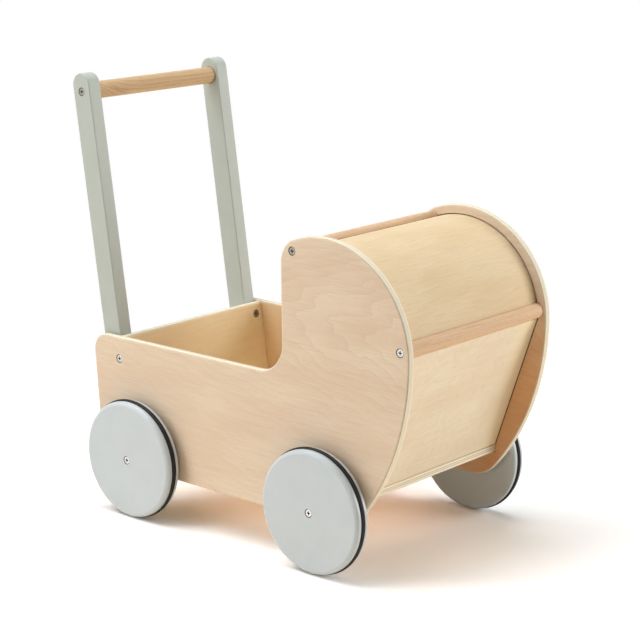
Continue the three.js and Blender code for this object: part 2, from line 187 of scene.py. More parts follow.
class Finish:
    """A node material. Constants go straight on the shader's own sockets."""

    def __init__(self, name, constants=()):
        self.material = bpy.data.materials.new(name)
        self.material.use_nodes = True
        self.tree = self.material.node_tree
        self.shader = self.tree.nodes["Principled BSDF"]
        for socket, value in dict(constants).items():
            self.feed(self.shader.inputs[socket], value)

    def feed(self, socket, value):
        if isinstance(value, Shade):
            self.tree.links.new(value.socket, socket)
        else:
            socket.default_value = value

    def node(self, kind, settings=(), sockets=(), output=0):
        made = self.tree.nodes.new(kind)
        for name, value in dict(settings).items():
            setattr(made, name, value)
        for name, value in dict(sockets).items():
            self.feed(made.inputs[name], value)
        return Shade(self, made.outputs[output])

    def math(self, operation, *values):
        return self.node("ShaderNodeMath", {"operation": operation}, enumerate(values))

    def measure(self, direction, start=0.0):
        """Millimetres along a direction of the frame, counted from a plane."""
        where = self.node("ShaderNodeTexCoord", output="Object")
        dot = {"operation": "DOT_PRODUCT"}
        along = self.node("ShaderNodeVectorMath", dot, {0: where, 1: Vector(direction)}, "Value")
        return along / MM - start

    def place(self):
        """Millimetres along x, y and z."""
        return [self.measure(axis) for axis in (X, Y, Z)]

    def blobs(self, ways, sizes, *seed, detail=2.0):
        """Soft noise between 0 and 1; sizes are its blobs' millimetres along each way."""
        steps = [way / size for way, size in zip(ways, sizes)]
        spot = self.node("ShaderNodeCombineXYZ", (), zip("XYZ", (*steps, *seed)))
        sockets = {"Vector": spot, "Scale": 1.0, "Detail": detail, "Roughness": NOISE_ROUGHNESS}
        return self.node("ShaderNodeTexNoise", (), sockets)

    def rise(self, value, low, high):
        """0 at low, 1 at high, smooth in between; low may be the larger one."""
        sockets = {"Value": value, "From Min": low, "From Max": high}
        return self.node("ShaderNodeMapRange", {"interpolation_type": "SMOOTHSTEP"}, sockets)

    def mix(self, first, second, share, blend="MIX"):
        """One colour running into another, or laid over it like a stain."""
        settings = {"data_type": "RGBA", "blend_type": blend}
        return self.node("ShaderNodeMix", settings, {0: share, 6: first, 7: second}, 2)

    def surface(self, colour, roughness, height, depth):
        """Feeds the shader; height is a relief of the given depth in millimetres."""
        relief = {"Height": height, "Distance": depth * MM, "Strength": 1.0}
        self.feed(self.shader.inputs["Base Color"], colour)
        self.feed(self.shader.inputs["Roughness"], roughness)
        self.feed(self.shader.inputs["Normal"], self.node("ShaderNodeBump", (), relief))
        print("finish:", self.material.name, len(self.tree.nodes), "nodes")
        return self.material


# %% Colours as a screen shows them
def screen(red, green, blue):
    """The linear colour of 8-bit levels on a screen."""
    levels = (level / 255 for level in (red, green, blue))
    return (*((v / 12.92 if v <= 0.04045 else ((v + 0.055) / 1.055) ** 2.4) for v in levels), 1.0)


BLACK, WHITE = screen(0, 0, 0), screen(255, 255, 255)

# %% [markdown]
# ## The studio
# The picture has a white ground that runs into a white background, and a soft shadow that falls to the
# right. Stronger lamps would whiten the ground but wash out the wood. So the floor is pale to the
# stroller, white to the camera, and fades into the sky before a horizon can show. Under the stroller the
# floor also glows a faint warm tint for the camera alone: painted bounce light that stands for the light
# wood throws on a white ground.

# %% Floor
FLOOR_SIZE = 12.0  # m
FLOOR_PALE = screen(255, 241, 222)
FLOOR_WHITE = (1.39, 1.38, 1.37, 1.0)
# emission painted on the floor under the stroller as warm bounce light, seen by the camera alone
FLOOR_PAINTED_BOUNCE = (0.3, 0.18, 0.135, 1.0)
WARM_LENGTH, WARM_WIDTH, WARM_BEHIND, WARM_LEFT = 190.0, 165.0, -20.0, 45.0  # mm
WARM_EDGE, WARM_CORE = 1.0, 0.4  # shares of that length and width
FADE_FROM, FADE_TO = 420.0, 820.0  # mm from the middle
FLOOR_SHADER = {"Roughness": 1.0, "Specular IOR Level": 0.0, "Emission Strength": 1.0}


def rays_that_see(finish):
    """1 for rays from the camera, and for those that mirrors and glass send on."""
    camera_ray = finish.node("ShaderNodeLightPath", output="Is Camera Ray")
    glossy, through_glass = camera_ray.output("Is Glossy Ray"), camera_ray.output("Is Transmission Ray")
    return camera_ray.math("MAXIMUM", glossy.math("MAXIMUM", through_glass))


def floor_finish():
    finish = Finish("studio_floor", FLOOR_SHADER)
    seen = rays_that_see(finish)
    away = finish.rise(reach(finish.measure(X), finish.measure(Y)), FADE_FROM, FADE_TO)
    lengthwise = finish.measure(X, WARM_BEHIND) / WARM_LENGTH
    crosswise = finish.measure(Y, WARM_LEFT) / WARM_WIDTH
    under = finish.rise(reach(lengthwise, crosswise), WARM_EDGE, WARM_CORE)
    inputs = finish.shader.inputs
    finish.feed(inputs["Base Color"], finish.mix(FLOOR_PALE, FLOOR_WHITE, seen))
    # painted bounce light: the floor glows warm under the stroller, for the camera alone
    finish.feed(inputs["Emission Color"], finish.mix(BLACK, FLOOR_PAINTED_BOUNCE, under * seen))
    white = finish.node("ShaderNodeEmission", (), {"Color": WHITE, "Strength": 1.0})
    lit = Shade(finish, finish.shader.outputs[0])
    blend = finish.node("ShaderNodeMixShader", (), {0: away * seen, 1: lit, 2: white})
    finish.feed(finish.tree.nodes["Material Output"].inputs["Surface"], blend)
    return finish.material


bpy.ops.mesh.primitive_plane_add(size=FLOOR_SIZE)
floor = bpy.context.object
floor.name = "studio_ground"
floor.data.materials.append(floor_finish())
floor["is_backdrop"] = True
print("floor:", FLOOR_SIZE, "m wide, plain white from", FADE_TO, "mm on")

# %% [markdown]
# ## Sky and lamps
# One bare lamp would cut a hard shadow, so four wide ones stand round the stroller. A window high on the
# left gives the shadow its side, a screen on the left and one on the right light the side and the front,
# and a lamp overhead lights the hood. A weak sky fills what they leave dark.

# %% Sky and lamps
SKY = 0.05  # light of the sky on the stroller
LAMP_AWAY, LAMP_SIZE, LAMP_AIM = 2.2, 1.4, Vector((0, 0, 0.2))  # m
LAMPS = {  # where each stands, seen from the camera, and its watts
    "left_window": (view_up - view_right * 0.7, 27.5),
    "left_screen": (view_up * 0.25 - view_right * 0.94 - view_ahead * 0.34, 15.2),
    "right_screen": (view_up * 0.22 + view_right, 30.0),
    "ceiling": (view_up + view_ahead * 0.05, 24.0),
}


class Sky(Finish):
    """The world's own nodes, which the same methods build."""

    def __init__(self, world):
        world.use_nodes = True
        self.tree = world.node_tree
        self.shader = self.tree.nodes["Background"]


def soft_lamp(name, towards, watts):
    """A square lamp that looks at the stroller from a direction of the view."""
    data = bpy.data.lights.new(name, "AREA")
    data.size, data.energy = LAMP_SIZE, watts
    lamp = bpy.data.objects.new(name, data)
    lamp.location = LAMP_AIM + towards.normalized() * LAMP_AWAY
    lamp.rotation_mode = "QUATERNION"
    lamp.rotation_quaternion = (-towards).to_track_quat("-Z", "Y")
    scene.collection.objects.link(lamp)
    print("lamp:", name, watts, "W")


scene.world = bpy.data.worlds.new("studio_sky")
sky = Sky(scene.world)
sky.feed(sky.shader.inputs["Color"], WHITE)
sky.feed(sky.shader.inputs["Strength"], SKY + (1 - SKY) * rays_that_see(sky))
for name, (towards, watts) in LAMPS.items():
    soft_lamp(name, towards, watts)

# %% [markdown]
# ## Tools for shapes
# Sawn boards are an outline of straight runs and tangent arcs, drawn out to the thickness of the board
# and rounded over along both faces. Turned pieces are a profile that goes round an axis. A modifier could
# round the edges, but points placed one by one lie where a maker's tool would leave them.

# %% Arcs and corners
CHORD = 0.01  # mm that a chord may stray from its arc


def flat(x, z):
    return Vector((x, z))


def heading(angle):
    return flat(math.cos(angle), math.sin(angle))


def turns_between(start, end, steps):
    return [start + (end - start) * i / steps for i in range(steps + 1)]


def circle_part(centre, radius, start, end, steps):
    return [centre + radius * heading(turn) for turn in turns_between(start, end, steps)]


def arc(centre, radius, start, end):
    step = 2 * math.acos(1 - CHORD / radius)
    return circle_part(centre, radius, start, end, math.ceil(abs(end - start) / step))


def corner(before, tip, after, radius):
    """The arc that rounds the corner at tip."""
    back, on = (before - tip).normalized(), (after - tip).normalized()
    half = math.acos(back.dot(on)) / 2
    centre = tip + (back + on).normalized() * radius / math.sin(half)
    start = tip + back * radius / math.tan(half) - centre
    end = tip + on * radius / math.tan(half) - centre
    first = math.atan2(start.y, start.x)
    turn = (math.atan2(end.y, end.x) - first + math.pi) % math.tau - math.pi
    return arc(centre, radius, first, first + turn)


# %% Whole outlines
SAME_POINT = 0.01  # mm


def neighbours(spots):
    """Each point of a closed outline with the one before it and the one after it."""
    return zip(spots[-1:] + spots[:-1], spots, spots[1:] + spots[:1])


def rounded(tips, radii):
    corners = (corner(*trio, radius) for trio, radius in zip(neighbours(tips), radii))
    return [spot for arc_spots in corners for spot in arc_spots]


def joined(*runs):
    spots = [spot for run in runs for spot in run]
    return [spot for i, spot in enumerate(spots) if (spot - spots[i - 1]).length > SAME_POINT]


def inset(outline, distance):
    """An anticlockwise outline moved inwards."""
    inner = []
    for before, here, after in neighbours(outline):
        first, second = (here - before).normalized(), (after - here).normalized()
        inward = flat(-first.y - second.y, first.x + second.x).normalized()
        inner.append(here + inward * distance / inward.dot(flat(-first.y, first.x)))
    return inner


# %% Rings of points
def loft(loops, closed=False):
    """A bmesh of rings of points; a ring of one point closes an end."""
    shape = bmesh.new()
    rings = [[shape.verts.new(spot) for spot in loop] for loop in loops]
    for ring, after in zip(rings, rings[1:] + rings[:1] if closed else rings[1:]):
        count = max(len(ring), len(after))
        for i in range(count):
            j = (i + 1) % count
            around = [ring[i % len(ring)], ring[j % len(ring)]]
            around += [after[j % len(after)], after[i % len(after)]]
            shape.faces.new(dict.fromkeys(around))
    if not closed:
        for ring in (rings[0], rings[-1]):
            if len(ring) > 2:
                shape.faces.new(ring)
    bmesh.ops.recalc_face_normals(shape, faces=shape.faces)
    return shape


# %% Boards and turned pieces
ROUND_STEPS = 6  # faces across a rounded edge
TURN_STEPS = 96  # faces round a turned piece


def board_shape(outline, low, high, round_over=0.0):
    """An outline in x and z, drawn out along y from low to high, with rounded edges."""
    turns = turns_between(0, math.pi / 2, ROUND_STEPS) if round_over else [0.0]
    edge = [(round_over * (1 - math.sin(turn)), round_over * (1 - math.cos(turn))) for turn in turns]
    levels = [(step, low + up) for step, up in edge]
    levels += [(step, high - up) for step, up in reversed(edge)]
    return loft([[Vector((p.x, y, p.y)) for p in inset(outline, step)] for step, y in levels])


def turned(profile, closed=False, steps=TURN_STEPS):
    """A profile of radius and height, turned about the y axis."""
    spokes = circle_part(flat(0, 0), 1, 0, math.tau, steps)[:-1]

    def ring(radius, y):
        return [Vector((radius * p.x, y, radius * p.y)) for p in (spokes if radius else spokes[:1])]

    return loft([ring(radius, y) for radius, y in profile], closed)


# %% Putting a shape in its place
LEFT, RIGHT = 1, -1
SIDES = {"left": LEFT, "right": RIGHT}


def moved(shape, matrix):
    shape.transform(matrix)
    return shape


def at(x, y, z):
    return Matrix.Translation((x, y, z))


def facing(hand):
    """Turns what points to +y so that it points to the given side."""
    return Matrix.Identity(4) if hand == LEFT else Matrix.Rotation(math.pi, 4, "X")


# %% [markdown]
# ## Cutting, and adding a piece
# Holes and grooves are cut with Boolean modifiers, as a drill and a router would cut them. Each cutter
# carries the number of the piece's second finish, so what it leaves is coloured as a fresh cut and
# darkened as painted shade. A made piece gets its body from the record of the frame, by the name of its
# solid.

# %% Cutting
def stand_in(shape, finish_index):
    """A short-lived object for a modifier to work on."""
    mesh = bpy.data.meshes.new("cutting")
    for face in shape.faces:
        face.material_index = finish_index
    shape.to_mesh(mesh)
    shape.free()
    for _ in range(2):
        mesh.materials.append(None)
    made = bpy.data.objects.new("cutting", mesh)
    scene.collection.objects.link(made)
    return made


def carve(blank, cutters):
    """Cuts a bmesh by others; what the cutters leave takes the piece's second finish."""
    work = stand_in(blank, 0)
    tools = [stand_in(cutter, 1) for cutter in cutters]
    for tool in tools:
        cut = work.modifiers.new("cut", "BOOLEAN")
        cut.object, cut.operation, cut.solver = tool, "DIFFERENCE", "EXACT"
    left = bmesh.new()
    left.from_object(work, bpy.context.evaluated_depsgraph_get())
    for used in (work, *tools):
        bpy.data.meshes.remove(used.data)
    return left


# %% Adding a piece
SHARP_EDGE = math.radians(32)
bodies = frame["record"]["behaviour"]["bodies"]
body_of = {node: body for body, nodes in bodies.items() for node in nodes}


def add_piece(node, shape, *finishes, place=None):
    """Makes the piece that stands for a solid, on that solid's body, with the given finishes."""
    bmesh.ops.recalc_face_normals(shape, faces=shape.faces)
    if shape.calc_volume(signed=True) < 0:
        bmesh.ops.reverse_faces(shape, faces=shape.faces)
    bmesh.ops.scale(shape, vec=(MM, MM, MM), verts=shape.verts)
    mesh = bpy.data.meshes.new(f"{node}_shape")
    shape.to_mesh(mesh)
    shape.free()
    mesh.shade_smooth()
    mesh.set_sharp_from_angle(angle=SHARP_EDGE)
    for finish in finishes:
        mesh.materials.append(finish)
    piece = bpy.data.objects.new(f"{node}_piece", mesh)
    scene.collection.objects.link(piece)
    if place:
        turn = place.to_quaternion().to_matrix().to_4x4()
        piece.matrix_world = Matrix.Translation(place.translation * MM) @ turn
    even = piece.modifiers.new("even_shading", "WEIGHTED_NORMAL")
    even.keep_sharp = True
    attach(piece, body_of[node])
    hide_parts(node)
    print("piece:", piece.name, len(mesh.polygons), "faces")


# %% [markdown]
# ## Birch plywood
# The sides, floor and boards are birch plywood under a thin matt lacquer. A rotary-cut sheet shows its
# growth rings as contour lines of a slow landscape: straight and close where the land is steep, and wide
# loops where it is flat. So the figure is a height with its whole part taken away, dark just before each
# step, with fine fibres and short pores along the grain. Below the face come the other layers, so the
# colour also depends on how deep the surface lies, and a rounded edge shows them.

# %% Layers of the sheet
FACE_VENEER, MIDDLE_LAYER, GLUE_LINE = 0.6, 2.2, 0.16  # mm
GLUE_SHOWS = 0.4
PLY_CREAM, PLY_CROSS = screen(250, 243, 220), screen(238, 228, 205)
PLY_GLUE = screen(158, 136, 110)


def ply_edge(finish, face, depth, thickness, glue=GLUE_SHOWS):
    """Puts the layers of the sheet behind the colour of its face."""
    below = thickness / 2 - (depth - thickness / 2).math("ABSOLUTE")
    middle_level = (thickness - MIDDLE_LAYER) / 2
    core = finish.mix(PLY_CREAM, PLY_CROSS, below.math("GREATER_THAN", middle_level))
    colour = finish.mix(face, core, below.math("GREATER_THAN", FACE_VENEER))
    for level in (FACE_VENEER, middle_level):
        line = (below - level).math("ABSOLUTE").math("LESS_THAN", GLUE_LINE)
        colour = finish.mix(colour, PLY_GLUE, line * glue)
    return colour


print(f"a board has glue lines {FACE_VENEER} and {(BOARD - MIDDLE_LAYER) / 2:.1f} mm below each face")

# %% Three landscapes of growth rings
STRAIGHT_STEP, STRAIGHT_WANDER, STRAIGHT_RINGS = 6, (90, 24), 4  # mm, mm and rings
ARCH_STEP, ARCH_WIDTH, ARCH_WANDER = 42, 37, (50, 24)  # mm
ARCH_ARMS, ARCH_RINGS = 4.6, 2.4  # rings
FLAME_SLANT, FLAME_SIZE, FLAME_RINGS = 0.6, (60, 32), 7  # a ratio, mm and rings


def straight_rings(finish, along, across, seed):
    """Close lines along the grain, as on a quarter of a sheet away from its heart."""
    wander = finish.blobs((along, across), STRAIGHT_WANDER, seed, detail=1.0)
    return across / STRAIGHT_STEP + wander * STRAIGHT_RINGS


def arched_rings(finish, along, across, seed):
    """Arches about a ridge that open towards +along, and close slanting lines away from it."""
    arms = ((across / ARCH_WIDTH) ** 2 + 1).math("SQRT") * ARCH_ARMS
    wander = finish.blobs((along, across), ARCH_WANDER, seed, detail=1.0)
    return along / ARCH_STEP - arms + wander * ARCH_RINGS


def flame_rings(finish, along, across, seed):
    """Wide slanting flames, without a ridge."""
    slanted = along + across * FLAME_SLANT, across - along * FLAME_SLANT
    return finish.blobs(slanted, FLAME_SIZE, seed, detail=1.0) * FLAME_RINGS


# %% The face of the sheet
CLOUD, SCALLOP, FIBRE, PORE = (110, 34), (15, 7), (18, 0.45), (4.5, 0.32)  # mm along and across
STREAK_LENGTH, STREAK_WIDTH = 60, 1.5  # mm
FIBRE_DEPTH, FIBRE_DULL = 0.05, 0.16  # mm of relief, and the roughness that it adds
PORE_BROWN = screen(196, 160, 128)
WOOD = {"IOR": 1.45, "Specular IOR Level": 0.2}  # a thin matt lacquer


def birch_face(finish, ways, seed, palette, rings, figure, streak_length=STREAK_LENGTH):
    """Colour and relief of a face; ways are along and across the grain, figure its rings' strength."""
    pale, rosy, late_wood = (screen(*levels) for levels in palette)
    clouds = finish.rise(finish.blobs(ways, CLOUD, seed), 0.36, 0.66)
    scallops = finish.blobs(ways, SCALLOP, seed + 5, detail=1.0)
    year = (rings(finish, *ways, seed + 3) + scallops * 0.45).math("FRACT")
    streaks = finish.blobs(ways, (streak_length, STREAK_WIDTH), seed + 6, detail=3.0)
    fibre = finish.blobs(ways, FIBRE, seed + 7)
    pores = finish.rise(finish.blobs(ways, PORE, seed + 9, detail=0.0), 0.66, 0.74)
    colour = finish.mix(pale, rosy, clouds)
    colour = finish.mix(colour, late_wood, year**3 * figure)
    colour = finish.mix(colour, PLY_CREAM, (1 - year) ** 5 * (figure * 0.6))
    colour = finish.mix(colour, late_wood, finish.rise(streaks, 0.45, 0.75) * 0.3)
    return finish.mix(colour, PORE_BROWN, pores * 0.2), fibre - pores * 0.6


def lacquered(finish, colour, relief, roughness=0.5):
    return finish.surface(colour, roughness + relief * FIBRE_DULL, relief, FIBRE_DEPTH)


# %% [markdown]
# ## The sides
# Each side is one sawn board: a low wall at the back, a round inside corner, and a hood that rises over
# the front and sweeps back under in a flatter nose. A free curve could follow that edge, but a maker uses
# compasses, so arcs meet tangentially and the edge runs without a kink. Heights are from the bottom edge,
# lengths from the middle of the wheelbase.

# %% Outline of the sides
SIDE_REAR, SIDE_LEAN, WALL_HEIGHT = 189.5, math.radians(3.2), 135.2
REAR_TOP_CORNER, BOTTOM_CORNER, CUT_OUT_CORNER = 18.0, 36.0, 30.0
HOOD_AHEAD, HOOD_HEIGHT, HOOD_RADIUS, HOOD_BACK, HOOD_CORNER = 123.7, 170.9, 101.6, 51.0, 24.5
NOSE_ANGLE, NOSE_RADIUS = math.radians(0.5), 242.5

wall_top = side_bottom + WALL_HEIGHT
hood_centre = flat(middle + HOOD_AHEAD, side_bottom + HOOD_HEIGHT)
hood_rear = hood_centre.x - HOOD_BACK
nose_centre = hood_centre - (NOSE_RADIUS - HOOD_RADIUS) * heading(-NOSE_ANGLE)


def side_outline():
    rear_top = flat(middle - SIDE_REAR, wall_top)
    rear_foot = flat(rear_top.x + WALL_HEIGHT * math.tan(SIDE_LEAN), side_bottom)
    cut_out = flat(hood_rear, wall_top)
    toe_height = side_bottom + BOTTOM_CORNER - nose_centre.y
    toe_reach = math.sqrt((NOSE_RADIUS - BOTTOM_CORNER) ** 2 - toe_height**2)
    toe = nose_centre + flat(toe_reach, toe_height)
    nose_end = math.atan2(toe_height, toe_reach)
    tip_across = HOOD_CORNER - HOOD_BACK
    tip_up = math.sqrt((HOOD_RADIUS - HOOD_CORNER) ** 2 - tip_across**2)
    hood_tip = hood_centre + flat(tip_across, tip_up)
    hood_end = math.atan2(tip_up, tip_across)
    return joined(
        arc(toe, BOTTOM_CORNER, -math.pi / 2, nose_end),
        arc(nose_centre, NOSE_RADIUS, nose_end, -NOSE_ANGLE),
        arc(hood_centre, HOOD_RADIUS, -NOSE_ANGLE, hood_end),
        arc(hood_tip, HOOD_CORNER, hood_end, math.pi),
        corner(flat(hood_rear, hood_tip.y), cut_out, rear_top, CUT_OUT_CORNER),
        corner(cut_out, rear_top, rear_foot, REAR_TOP_CORNER),
        corner(rear_top, rear_foot, flat(toe.x, side_bottom), BOTTOM_CORNER),
    )


print("side:", len(side_outline()), "points round the outline")

# %% [markdown]
# ## What the grooves hold
# The floor, the front board and the hood sheet each have an outline that can be widened. As drawn it is
# the board, and widened it is the groove in the sides. The dark line that the picture shows round the
# hood sheet and the front board is a real gap, and the cut faces in it and the let-in ends of the front
# board are painted darker still as shade.

# %% Where the dowels, the floor and the front board lie
FIT = 0.3  # mm between pieces that meet
DOWEL_RADIUS, DOWEL_INSET, REAR_DOWEL_SETBACK, FRONT_DOWEL_ANGLE = 7.4, 9.8, 15.0, math.radians(5.9)
FLOOR_SETBACK, REAR_BOARD_AHEAD, BACK_TILT = 16.7, 52.74, math.radians(7.7)
FRONT_BOARD = 6.0

dowel_circle = HOOD_RADIUS - DOWEL_INSET
rear_dowel_angle = math.acos((REAR_DOWEL_SETBACK - HOOD_BACK) / dowel_circle)
front_dowel = hood_centre + dowel_circle * heading(FRONT_DOWEL_ANGLE)
rear_dowel = hood_centre + dowel_circle * heading(rear_dowel_angle)
back_foot = flat(middle + REAR_BOARD_AHEAD - SIDE_REAR, floor_top + FIT)
floor_rear = back_foot.x - BOARD / math.cos(BACK_TILT)
nose_at_floor = nose_centre.x + math.sqrt(NOSE_RADIUS**2 - (floor_top - nose_centre.y) ** 2)

front_foot = flat(nose_at_floor - FLOOR_SETBACK, floor_top)
front_reach = front_dowel - front_foot
front_slope = math.atan2(front_reach.x, front_reach.y) + math.asin(FRONT_BOARD / 2 / front_reach.length)
front_up, front_out = heading(math.pi / 2 - front_slope), heading(-front_slope)
print(f"front board leans {math.degrees(front_slope):.1f} degrees")

# %% Floor, front board and hood sheet as outlines
HOOD_SHEET, SHEET_LET_IN = 3.0, 3.0


def floor_tips(grow=0.0):
    low, high = floor_bottom - grow, floor_top + grow
    rear, front = floor_rear - grow, front_foot.x + grow
    return [flat(rear, low), flat(front, low), flat(front, high), flat(rear, high)]


def front_board_tips(grow=0.0):
    bottom = FIT - grow
    top = front_reach.dot(front_up) - DOWEL_RADIUS - FIT + grow
    inner = -FRONT_BOARD - grow

    def low(offset):
        return front_foot + flat(bottom * math.tan(front_slope) + offset / math.cos(front_slope), bottom)

    def high(offset):
        return front_foot + front_up * top + front_out * offset

    return [low(inner), low(grow), high(grow), high(inner)]


def hood_sheet_outline(grow=0.0):
    margin = (DOWEL_RADIUS - SHEET_LET_IN - grow) / dowel_circle
    start, end = FRONT_DOWEL_ANGLE + margin, rear_dowel_angle - margin
    return joined(
        arc(hood_centre, dowel_circle + grow, start, end),
        arc(hood_centre, dowel_circle - HOOD_SHEET - grow, end, start),
    )


print("hood sheet:", len(hood_sheet_outline()), "points round the outline")

# %% [markdown]
# ## Screws
# Countersunk screws hold everything together. A plain cylinder would do from afar, but the flat head
# with its dark cross is what the eye finds first, so it has a cone, a softened rim and a cross recess that
# narrows downwards, painted dark as shade. It sits a little below the wood, in a hole wide enough to show
# as a dark ring. Some heads in the picture are bright and some are dull with the light that falls on them,
# so a darker copy of the zinc paints shade on the dull ones.

# %% Screw shapes
HEAD, SHANK, CONE, LAND, TIP, SINK = 3.65, 1.8, 2.6, 0.4, 5.0, 0.3
RIM_SOFT, HEAD_PLAY = 0.15, 0.65
CROSS_REACH, CROSS_HALF, CROSS_DEPTH, CROSS_TAPER = 2.1, 0.55, 1.5, 0.7
OVERCUT = 1.0  # mm that a cutter reaches past the surface that it opens
SCREW_STEPS = 48


def cross_cutter():
    """A plus sign that narrows to the bottom of the recess."""
    arm = [flat(CROSS_REACH, -CROSS_HALF), flat(CROSS_REACH, CROSS_HALF), flat(CROSS_HALF, CROSS_HALF)]
    turns = [Matrix.Rotation(math.pi / 2 * i, 2) for i in range(4)]
    plus = [turn @ spot for turn in turns for spot in arm]
    levels = ((CROSS_TAPER, -CROSS_DEPTH), (1.0, 0.0), (1.0, OVERCUT))
    return loft([[Vector((p.x * share, y, p.y * share)) for p in plus] for share, y in levels])


def screw_shape(length):
    """A screw that hangs down along -y from the middle of its head."""
    profile = [
        (0, -length), (SHANK, TIP - length), (SHANK, -LAND - CONE), (HEAD, -LAND),
        (HEAD, -RIM_SOFT), (HEAD - RIM_SOFT, 0),
    ]
    return carve(turned(profile, steps=SCREW_STEPS), [cross_cutter()])


def screw_room(length):
    """The hole that a screw needs, open above the head."""
    bore, sink = SHANK + FIT, HEAD + HEAD_PLAY
    profile = [(bore, -length - FIT), (bore, -LAND - CONE), (sink, -LAND), (sink, OVERCUT)]
    return turned(profile, steps=SCREW_STEPS)


print(f"screw heads of {2 * HEAD:.1f} mm in countersinks of {2 * (HEAD + HEAD_PLAY):.1f} mm")

# %% Zinc, and adding a screw
SCRATCH, SCRATCH_DEPTH = (1.6, 0.2, 0.2), 0.01  # mm


def steel_finish(name, pale, dark, roughness):
    """Plated steel with the fine scratches that a driver leaves."""
    finish = Finish(name, {"Metallic": 1.0})
    scratch = finish.blobs(finish.place(), SCRATCH, detail=3.0)
    colour = finish.mix(screen(*pale), screen(*dark), finish.rise(scratch, 0.35, 0.7))
    return finish.surface(colour, roughness + scratch * 0.15, scratch, SCRATCH_DEPTH)


zinc = steel_finish("zinc_screw", (222, 219, 214), (190, 186, 180), 0.28)
# a darker copy of the same zinc, painted shade for the heads that lie in shade
shaded_zinc = steel_finish("shaded_zinc_screw", (158, 154, 148), (126, 120, 112), 0.34)
# dark brown painted shade for the cross recess in each head
recess_shade_zinc = steel_finish("recess_shade_zinc", (74, 64, 56), (48, 40, 34), 0.5)


def add_screw(node, length, place, metal):
    add_piece(node, screw_shape(length), metal, recess_shade_zinc, place=place)


# %% [markdown]
# ## Cutting the sides
# The blank is sawn and rounded over first, then grooved inside for the floor, the front board and the
# hood sheet, bored for the axles and countersunk for three screws. A cutter scorches what it leaves, so
# cut faces get a brown of their own, darkened further as painted shade, which makes each gap a dark line.

# %% Routed wood
BURN, BURN_DEPTH = (6, 0.8, 6), 0.05  # mm
# scorched brown, darkened further as painted shade in the gaps
SCORCH_AND_SHADE, CHAR_AND_SHADE = screen(105, 68, 42), screen(72, 44, 26)


def routed_finish():
    """The brown of a groove or hole that a fast cutter has scorched, darkened further as painted shade."""
    finish = Finish("routed_wood_painted_shade", WOOD)
    burn = finish.blobs(finish.place(), BURN, detail=3.0)
    colour = finish.mix(SCORCH_AND_SHADE, CHAR_AND_SHADE, finish.rise(burn, 0.3, 0.7))
    return finish.surface(colour, 0.7 + burn * 0.2, burn, BURN_DEPTH)


routed = routed_finish()

# %% Shape of a side
EDGE_ROUND, AXLE_HOLE = 2.2, 7.9
GROOVE, FLOOR_PLAY, SHEET_PLAY = 3.0, 0.5, 1.0
SIDE_SCREW, SIDE_SCREW_BELOW_TOP = 34.0, 22.0

back_length = (wall_top - back_foot.y) / math.cos(BACK_TILT)
lean_back = at(back_foot.x, 0, back_foot.y) @ Matrix.Rotation(-BACK_TILT, 4, "Y")
end_screw = flat(-BOARD / 2, back_length - SIDE_SCREW_BELOW_TOP)
side_screws = {
    "hood_front_screw": front_dowel,
    "hood_rear_screw": rear_dowel,
    "rear_board_screw": (lean_back @ Vector((end_screw.x, 0, end_screw.y))).xz,
}


def through_side(spot, hand):
    """Where the head of a screw that goes in from a side lies."""
    return at(spot.x, hand * (outer_face - SINK), spot.y) @ facing(hand)


def side_shape(hand):
    low, high = sorted((hand * inner_face, hand * outer_face))
    groove = sorted((hand * (inner_face - OVERCUT), hand * (inner_face + GROOVE)))
    held = (floor_tips(FLOOR_PLAY), front_board_tips(SHEET_PLAY), hood_sheet_outline(SHEET_PLAY))
    bore = [(AXLE_HOLE, low - OVERCUT), (AXLE_HOLE, high + OVERCUT)]
    cutters = [board_shape(outline, *groove) for outline in held]
    cutters += [moved(turned(bore), at(axle.x, 0, axle.z)) for axle in axle_spots.values()]
    heads = [through_side(spot, hand) for spot in side_screws.values()]
    cutters += [moved(screw_room(SIDE_SCREW), head) for head in heads]
    return carve(board_shape(side_outline(), low, high, EDGE_ROUND), cutters)


print(f"rear board is {back_length:.1f} mm long, leaning back {math.degrees(BACK_TILT):.1f} degrees")

# %% [markdown]
# ## Figure of the sides
# The two sides come from different parts of the sheet, since the same figure twice would look printed.
# Both have wide arches on the hood and close slanting lines below. Inside, the low wall is painted golden
# as bounce light, and the nose is painted redder and darker as shade, stronger towards the bottom.

# %% The two sides
SIDE_PALETTE = ((237, 218, 194), (232, 209, 184), (209, 183, 156))
# painted shade for the inner nose, and painted golden bounce light for the inner low wall
NOSE_SHADE, WALL_BOUNCE = screen(250, 215, 184), screen(254, 229, 180)
SIDE_SEEDS = {"left": 41.0, "right": 12.0}
RIDGE, RIDGE_FADES = 236.0, (100, 30)  # mm: height of the wide arches, and how far from it they fade
NOSE_SHADE_UP, NOSE_SHADE_AHEAD, NOSE_SHADE_WAVES, NOSE_SHADE_RAGGED = (37, -75), (100, 160), (80, 20), 30  # mm
WALL_BOUNCE_BACK = (60, -20)  # mm


